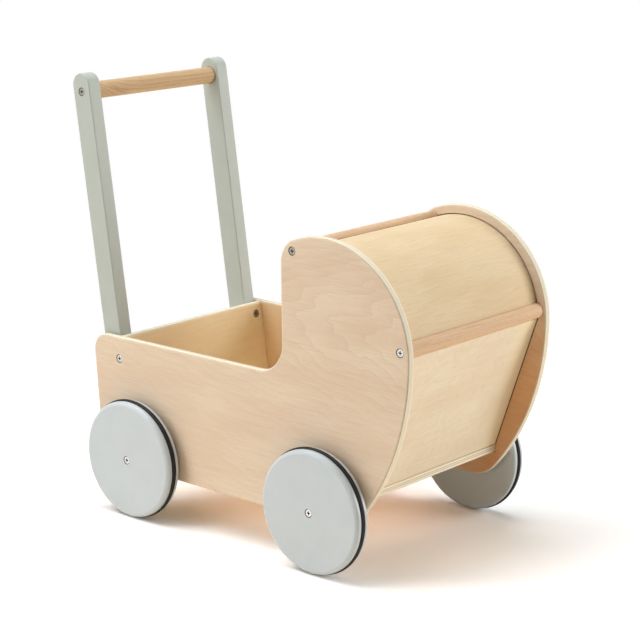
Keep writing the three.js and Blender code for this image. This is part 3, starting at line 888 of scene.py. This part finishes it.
def side_finish(name, hand):
    """Arched figure outside; inside, painted bounce light on the wall and painted shade on the nose."""
    finish, seed = Finish(f"side_ply_{name}", WOOD), SIDE_SEEDS[name]
    along, up = ways = finish.measure(X), finish.measure(Z, RIDGE)
    depth = finish.measure((0, hand, 0), inner_face)
    figure = 0.1 + 0.13 * finish.rise(up.math("ABSOLUTE"), *RIDGE_FADES)
    face, relief = birch_face(finish, ways, seed, SIDE_PALETTE, arched_rings, figure)
    edge = up + finish.blobs(ways, NOSE_SHADE_WAVES, seed + 11) * NOSE_SHADE_RAGGED
    inside = finish.rise(depth, FACE_VENEER, 0.0)
    # painted shade in the nose, stronger low down, and painted golden bounce light on the low wall at the
    # back
    nose_shade = finish.rise(edge, *NOSE_SHADE_UP) * (0.25 + 0.75 * finish.rise(along, *NOSE_SHADE_AHEAD))
    face = finish.mix(face, WALL_BOUNCE, finish.rise(along, *WALL_BOUNCE_BACK) * inside * 0.6)
    face = finish.mix(face, NOSE_SHADE, nose_shade * inside, "MULTIPLY")
    return lacquered(finish, ply_edge(finish, face, depth, BOARD), relief)


for name, hand in SIDES.items():
    add_piece(f"side_panel_{name}", side_shape(hand), side_finish(name, hand), routed)
    for screw, spot in side_screws.items():
        # the rear hood screw takes the darker zinc copy as painted shade
        metal = shaded_zinc if screw == "hood_rear_screw" else zinc
        add_screw(f"{screw}_{name}", SIDE_SCREW, through_side(spot, hand), metal)

# %% [markdown]
# ## Floor, front board and hood sheet
# These sheets run into the grooves on both sides. The front edge of the floor shows its layers under
# the front board, whose let-in ends are painted dark as shade in the grooves. The hood sheet is thin
# enough to bend, with its grain across the stroller, as it has to be to follow the arc, so its figure is
# laid out along the arc and not along a straight axis.

# %% Floor
EASED = 1.0
BOARD_PALETTE = ((251, 231, 190), (248, 224, 181), (234, 205, 161))
BOARD_FIGURE, FLOOR_SEED, FLOOR_GLUE = 0.15, 23.0, 0.85
tongue = inner_face + GROOVE - FIT


def board_ply(name, grain, across_grain, through, seed, glue=GLUE_SHOWS):
    """A golden board; each direction is a vector and the millimetres where it starts."""
    finish = Finish(name, WOOD)
    along, across, depth = (finish.measure(*way) for way in (grain, across_grain, through))
    ways = along, across
    face, relief = birch_face(finish, ways, seed, BOARD_PALETTE, straight_rings, BOARD_FIGURE)
    return lacquered(finish, ply_edge(finish, face, depth, BOARD, glue), relief)


def sheet_shape(tips):
    return board_shape(rounded(tips, [EASED] * len(tips)), -tongue, tongue)


floor_ply = board_ply("floor_ply", (X,), (Y,), (Z, floor_bottom), FLOOR_SEED, FLOOR_GLUE)
add_piece("floor_board", sheet_shape(floor_tips()), floor_ply)

# %% Front board
FRONT_PALETTE = ((242, 229, 204), (238, 221, 194), (223, 202, 172))
# painted warm bounce light for the left end, and painted shade for the let-in ends
FRONT_BOUNCE, LET_IN_SHADE = screen(254, 240, 204), screen(112, 66, 34)
FRONT_FIGURE, FRONT_SEED = 0.2, 57.0
BOUNCE_FROM, SEAM_SOFT = 58.0, 0.3  # mm
front_rise, front_face = (Vector((way.x, 0, way.y)) for way in (front_up, front_out))
front_start = front_foot.dot(front_out) - FRONT_BOARD


def front_finish():
    """Wide flames, with painted warm bounce light towards the left end and painted shade on the let-in
    ends.
    """
    finish = Finish("front_board_ply", WOOD)
    along, across = ways = finish.measure(Y), finish.measure(front_rise)
    face, relief = birch_face(finish, ways, FRONT_SEED, FRONT_PALETTE, flame_rings, FRONT_FIGURE)
    # painted warm bounce light towards the left end
    face = finish.mix(face, FRONT_BOUNCE, finish.rise(along, BOUNCE_FROM, inner_face))
    colour = ply_edge(finish, face, finish.measure(front_face, front_start), FRONT_BOARD)
    # painted shade on the ends let into the grooves
    seam_shade = finish.rise(along.math("ABSOLUTE"), inner_face - SEAM_SOFT, inner_face + SEAM_SOFT)
    return lacquered(finish, finish.mix(colour, LET_IN_SHADE, seam_shade), relief)


add_piece("front_board", sheet_shape(front_board_tips()), front_finish())

# %% Hood sheet
HOOD_PALETTE = ((236, 214, 177), (231, 206, 166), (209, 180, 138))
HOOD_FIGURE, HOOD_SEED, HOOD_STREAK, HOOD_ROUGHNESS = 0.1, 71.0, 26, 0.48


def hood_finish():
    """Close lines along the grain, which runs across the stroller."""
    finish = Finish("hood_ply", WOOD)
    ahead, up = finish.measure(X, hood_centre.x), finish.measure(Z, hood_centre.y)
    around = up.math("ARCTAN2", ahead) * dowel_circle
    ways = finish.measure(Y), around
    face, relief = birch_face(
        finish, ways, HOOD_SEED, HOOD_PALETTE, straight_rings, HOOD_FIGURE, HOOD_STREAK
    )
    depth = reach(ahead, up) - (dowel_circle - HOOD_SHEET)
    return lacquered(finish, ply_edge(finish, face, depth, HOOD_SHEET), relief, HOOD_ROUGHNESS)


add_piece("hood_sheet", board_shape(hood_sheet_outline(), -tongue, tongue), hood_finish())

# %% [markdown]
# ## Dowels and axles
# Two dowels end the hood sheet, which is let into a slot along each, and two more are the axles. Dowel
# wood is split from straight stems, so its rings show as long streaks, with the short flecks that beech
# has. A picture of wood would have to be wrapped round each rod. Rings that fill space need no wrapping.

# %% Beech
BEECH_PALE, BEECH_RING = screen(229, 195, 160), screen(210, 170, 132)
BEECH_STREAK, BEECH_FLECK = screen(203, 160, 121), screen(186, 138, 102)
RING_STEP, RING_START, STREAK_START = 2.6, 3.0, 3.3  # mm
WANDER, STREAK, FLECK = (40, 160, 40), (1.1, 70, 1.1), (0.4, 2.4, 0.4)  # mm along x, y and z
STREAK_DEPTH = 0.04  # mm


def beech_finish():
    finish = Finish("beech_dowel", WOOD)
    x, y, z = place = finish.place()
    wander = finish.blobs(place, WANDER)
    ring = ((x * 0.8 + z * 0.6 + wander * 5 + RING_START) / RING_STEP).math("FRACT")
    streak = finish.blobs((x, y, z + STREAK_START), STREAK, detail=3.0)
    fleck = finish.rise(finish.blobs(place, FLECK, detail=0.0), 0.62, 0.72)
    colour = finish.mix(BEECH_PALE, BEECH_RING, ring**3 * 0.4)
    colour = finish.mix(colour, BEECH_STREAK, finish.rise(streak, 0.42, 0.72) * 0.4)
    colour = finish.mix(colour, BEECH_FLECK, fleck * 0.3)
    return finish.surface(colour, 0.42 + streak * 0.2, streak - fleck * 0.5, STREAK_DEPTH)


beech = beech_finish()

# %% Dowels of the hood
DOWEL_END = 1.6
frame_fit = inner_face - FIT


def quarter(centre, radius, start):
    """Points of a quarter round in a profile, anticlockwise from a start angle."""
    return circle_part(centre, radius, start, start + math.pi / 2, ROUND_STEPS)


def rod_shape(radius, end, pilot, soft):
    """A rod along y, both ends softened and bored for a screw."""
    bore = SHANK + FIT
    profile = [(0, pilot - end), (bore, pilot - end), (bore, -end)]
    profile += quarter(flat(radius - soft, soft - end), soft, -math.pi / 2)
    profile += quarter(flat(radius - soft, end - soft), soft, 0)
    profile += [(bore, end), (bore, end - pilot), (0, end - pilot)]
    return turned(profile)


def pilot_depth(length, wall):
    """How deep a screw goes into a rod behind a wall."""
    return length + SINK - wall


for name, spot in (("hood_front_dowel", front_dowel), ("hood_rear_dowel", rear_dowel)):
    rod = rod_shape(DOWEL_RADIUS, frame_fit, pilot_depth(SIDE_SCREW, BOARD), DOWEL_END)
    slot = board_shape(hood_sheet_outline(FIT), -tongue, tongue)
    add_piece(name, carve(moved(rod, at(spot.x, 0, spot.y)), [slot]), beech, routed)

# %% [markdown]
# ## Rear board and handle
# The rear board leans back between the sides, and the posts stand behind it, screwed through it. All
# of it is modelled upright and then tipped back about the board's foot, so that the screws, the seats of
# the bar and the rounded tops stay square to the pieces that they belong to.

# %% Rear board
REAR_BOARD_ROUND, REAR_SEED = 3.0, 88.0
POST_WIDTH, POST_SIDE_GAP = 15.4, 1.5
POST_SCREW, POST_SCREW_BELOW_TOP, POST_SCREW_ABOVE_FOOT = 25.0, 12.5, 15.0

post_centre = inner_face - POST_SIDE_GAP - POST_WIDTH / 2
post_screws = {"upper": back_length - POST_SCREW_BELOW_TOP, "lower": POST_SCREW_ABOVE_FOOT}


def into_post(height, y=0.0):
    """Where the head of a post's screw lies, before the tipping back."""
    return at(-SINK, y, height) @ Matrix.Rotation(-math.pi / 2, 4, "Z")


def rear_board_shape():
    foot = BOARD * math.tan(BACK_TILT)
    tips = [flat(-BOARD, foot), flat(0, 0), flat(0, back_length), flat(-BOARD, back_length)]
    outline = rounded(tips, [EASED, EASED, REAR_BOARD_ROUND, REAR_BOARD_ROUND])
    cutters = []
    for hand in SIDES.values():
        cutters.append(moved(screw_room(SIDE_SCREW), through_side(end_screw, hand)))
        for height in post_screws.values():
            cutters.append(moved(screw_room(POST_SCREW), into_post(height, hand * post_centre)))
    return moved(carve(board_shape(outline, -frame_fit, frame_fit), cutters), lean_back)


back_normal, back_rise = (lean_back.to_3x3() @ Vector(way) for way in (X, Z))
back_start = Vector((back_foot.x, 0, back_foot.y)).dot(back_normal) - BOARD
rear_ply = board_ply("rear_board_ply", (Y,), (back_rise,), (back_normal, back_start), REAR_SEED)
add_piece("rear_board", rear_board_shape(), rear_ply, routed)

# %% [markdown]
# ## Painted wood
# Posts and wheels have a satin sage-grey paint, glossier on the wheels. One flat tone would look like
# plastic: a sprayed coat is a little thicker here and there, shows a fine orange peel, and on the posts
# the lengthwise grain just comes through.

# %% Painted wood
# the last tone is painted shade for the cut faces of the posts and wheels
POST_TONE, WHEEL_TONE, BORE_SHADE_TONE = (185, 193, 185), (203, 213, 218), (84, 84, 80)
THIN_COAT, THICK_COAT = -2, 1  # levels darker and paler than the tone
COAT_CLOUD, PEEL, PEEL_DEPTH = 22, 1.3, 0.012  # mm
POST_GRAIN, WHEEL_GLOSS = 22, 0.24


def paint_finish(name, tone, grain=1, roughness=0.4):
    """Satin paint; grain is how much finer the relief is across than along z."""
    finish = Finish(name, {"IOR": 1.48})
    place = finish.place()
    cloud = finish.blobs(place, (COAT_CLOUD, COAT_CLOUD, COAT_CLOUD), detail=3.0)
    peel = finish.blobs(place, (PEEL, PEEL, PEEL * grain))
    thin, thick = (screen(*(level + more for level in tone)) for more in (THIN_COAT, THICK_COAT))
    colour = finish.mix(thin, thick, finish.rise(cloud, 0.3, 0.7))
    return finish.surface(colour, roughness + cloud * 0.14, peel, PEEL_DEPTH)


post_paint = paint_finish("post_paint", POST_TONE, POST_GRAIN)
wheel_paint = paint_finish("wheel_paint", WHEEL_TONE, roughness=WHEEL_GLOSS)
# dark grey painted shade for holes and sockets in the painted pieces
paint_shade = paint_finish("paint_shade", BORE_SHADE_TONE)

# %% Posts
POST_DEPTH, POST_LENGTH, POST_FOOT, POST_EDGE = 24.0, 362.8, 3.0, 1.2
BAR_RADIUS, BAR_BELOW_TOP, BAR_SEAT, BAR_SCREW = 8.7, 18.4, 3.0, 40.0
post_front = -BOARD - FIT
post_middle = post_front - POST_DEPTH / 2
post_top = POST_FOOT + POST_LENGTH
bar_height = post_top - BAR_BELOW_TOP


def post_shape(hand):
    crown = arc(flat(post_middle, post_top - POST_DEPTH / 2), POST_DEPTH / 2, 0, math.pi)
    outline = [flat(post_front - POST_DEPTH, POST_FOOT), flat(post_front, POST_FOOT), *crown]
    seat = hand * (BAR_SEAT - POST_WIDTH / 2)
    mouth = -hand * (POST_WIDTH / 2 + OVERCUT)
    socket = turned([(BAR_RADIUS + FIT, seat), (BAR_RADIUS + FIT, mouth)])
    head = at(post_middle, hand * (POST_WIDTH / 2 - SINK), bar_height) @ facing(hand)
    cutters = [moved(socket, at(post_middle, 0, bar_height)), moved(screw_room(BAR_SCREW), head)]
    cutters += [moved(screw_room(POST_SCREW), into_post(height)) for height in post_screws.values()]
    blank = board_shape(outline, -POST_WIDTH / 2, POST_WIDTH / 2, POST_EDGE)
    return moved(carve(blank, cutters), lean_back @ at(0, hand * post_centre, 0))


for name, hand in SIDES.items():
    add_piece(f"handle_post_{name}", post_shape(hand), post_paint, paint_shade)
    head = at(post_middle, hand * (post_centre + POST_WIDTH / 2 - SINK), bar_height) @ facing(hand)
    add_screw(f"handle_bar_screw_{name}", BAR_SCREW, lean_back @ head, shaded_zinc)
    for level, height in post_screws.items():
        spot = lean_back @ into_post(height, hand * post_centre)
        add_screw(f"post_screw_{level}_{name}", POST_SCREW, spot, shaded_zinc)

# %% [markdown]
# ## The push bar
# The bar is ash, turned from a blank whose stem crossed it at a slant, so one end shows steep arches of
# grain that run out into long lines towards the other. Rings about a stem that curves away do the same.

# %% Ash bar
BAR_END = 1.0
ASH_PALE, ASH_RING = screen(211, 182, 142), screen(183, 140, 97)
ASH_FIBRE, ASH_PORE = screen(184, 136, 92), screen(150, 100, 62)
STEM_BELOW, STEM_ASIDE, STEM_OVAL, YEAR_STEP = 5, 9, 1.4, 3.6  # mm; the oval is a ratio
SLANT_END, SLANT_LENGTH, SLANT_RISE = 60, 100, 2.2  # mm
STEM_WANDER, LONG_FIBRE, SHORT_PORE = (14, 60, 14), (0.5, 34, 0.5), (0.3, 4, 0.3)  # mm along x, y and z
ASH_DEPTH = 0.05  # mm


def ash_finish():
    finish = Finish("ash_bar", WOOD)
    centre = lean_back @ Vector((post_middle, 0, bar_height))
    x, y, z = place = finish.measure(X, centre.x), finish.measure(Y), finish.measure(Z, centre.z)
    slant = ((SLANT_END - y) / SLANT_LENGTH) ** 6 * SLANT_RISE
    wander = finish.blobs(place, STEM_WANDER) * 2.2
    stem = reach(z + STEM_BELOW - slant + wander, x * STEM_OVAL - STEM_ASIDE)
    ring = (stem / YEAR_STEP).math("FRACT")
    fibre = finish.blobs(place, LONG_FIBRE, detail=3.0)
    pores = finish.rise(finish.blobs(place, SHORT_PORE, detail=0.0), 0.6, 0.72) * ring
    colour = finish.mix(ASH_PALE, ASH_RING, ring**3 * 0.6)
    colour = finish.mix(colour, ASH_FIBRE, finish.rise(fibre, 0.42, 0.72) * 0.3)
    colour = finish.mix(colour, ASH_PORE, pores * 0.45)
    return finish.surface(colour, 0.42 + fibre * 0.16, fibre - pores, ASH_DEPTH)


bar_half = post_centre - POST_WIDTH / 2 + BAR_SEAT - FIT
bar = rod_shape(BAR_RADIUS, bar_half, pilot_depth(BAR_SCREW, POST_WIDTH - BAR_SEAT), BAR_END)
add_piece("handle_bar", moved(bar, lean_back @ at(post_middle, 0, bar_height)), ash_finish())

# %% [markdown]
# ## Wheels
# A wheel is a thick disc with a groove round its rim. Its shoulders leave the face at an angle, which
# draws a fine ring on it, and then round off. The tyre is a rubber ring, round in section, that sits in
# the groove and stands a little proud. The solids' circles have few sides, so the radii are taken from
# the frame: the rings then touch the ground exactly as the solids do.

# %% Shape of a wheel
SHOULDER_REACH, SHOULDER_DROP, SHOULDER_START = 4.2, 3.6, math.radians(25)
AXLE_RADIUS, AXLE_SEAT, WHEEL_SCREW = 7.5, 6.0, 38.0
RING_STEPS, WHEEL_STEPS = 24, 160


def shoulder(radius, face):
    """Profile of a round shoulder that leaves the face at an angle."""
    start = SHOULDER_START
    wide, deep = SHOULDER_REACH / (1 - math.sin(start)), SHOULDER_DROP / math.cos(start)
    turns = turns_between(start, math.pi / 2, ROUND_STEPS)
    drops = [deep * (math.cos(start) - math.cos(turn)) for turn in turns]
    return [(radius - wide * (1 - math.sin(turn)), face - drop) for turn, drop in zip(turns, drops)]


def wheel_shape(radius, face, room, ring_centre):
    """A disc with a groove for its ring, bored for the axle and the screw."""
    groove = circle_part(ring_centre, room, -math.pi / 2, -math.pi * 3 / 2, RING_STEPS)
    outer = shoulder(radius, face)
    profile = [(rim, -y) for rim, y in outer]
    profile += [(radius, -room), *groove, (radius, room), *reversed(outer)]
    seat = AXLE_RADIUS + FIT
    bore = turned([(seat, -face - OVERCUT), (seat, AXLE_SEAT - face)])
    hole = moved(screw_room(WHEEL_SCREW), at(0, face - SINK, 0))
    return carve(turned(profile, steps=WHEEL_STEPS), [bore, hole])


# %% Rubber
DUST, GRIT, GRIT_DEPTH = (9, 3, 9), (0.7, 0.7, 0.7), 0.03  # mm
RUBBER_BLACK, RUBBER_DUSTY = screen(26, 26, 27), screen(40, 39, 39)


def rubber_finish():
    """Black rubber with a breath of dust on it."""
    finish = Finish("tyre_rubber", {"IOR": 1.5, "Specular IOR Level": 0.25})
    place = finish.place()
    dust = finish.blobs(place, DUST, detail=4.0)
    colour = finish.mix(RUBBER_BLACK, RUBBER_DUSTY, finish.rise(dust, 0.4, 0.8))
    return finish.surface(colour, 0.5 + dust * 0.25, finish.blobs(place, GRIT), GRIT_DEPTH)


rubber = rubber_finish()


# %% Wheels, tyres and axles
def add_wheel(end, name, hand):
    low, high, centre = span(f"{end}_wheel_{name}")
    tyre_low, tyre_high, _ = span(f"{end}_tyre_{name}")
    face = (high.y - low.y) / 2
    tyre_radius = (tyre_high.y - tyre_low.y) / 2
    tyre_centre = flat(centre.z - tyre_radius, 0)
    place = at(*centre) @ facing(hand)
    wheel = wheel_shape((high.z - low.z) / 2, face, tyre_radius + FIT, tyre_centre)
    add_piece(f"{end}_wheel_{name}", moved(wheel, place), wheel_paint, paint_shade)
    section = circle_part(tyre_centre, tyre_radius, 0, math.tau, RING_STEPS)[:-1]
    ring = turned(section, closed=True, steps=WHEEL_STEPS)
    add_piece(f"{end}_tyre_{name}", moved(ring, place), rubber)
    add_screw(f"{end}_wheel_screw_{name}", WHEEL_SCREW, place @ at(0, face - SINK, 0), zinc)


for end, hub in axle_spots.items():
    axle_half = span(f"{end}_axle")[1].y
    axle = rod_shape(AXLE_RADIUS, axle_half, pilot_depth(WHEEL_SCREW, BOARD), EASED)
    add_piece(f"{end}_axle", moved(axle, at(*hub)), beech)
    for name, hand in SIDES.items():
        add_wheel(end, name, hand)

# %% [markdown]
# ## Closing
# The box of the finished model is printed beside the box of the solids, to show that nothing has grown
# past them.

# %% Sizes and finish
boxes = {"cad": cad_box, "visual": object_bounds()}
for name, (low, high) in boxes.items():
    print(name, "box", [round(value / MM, 1) for value in high - low], "mm")
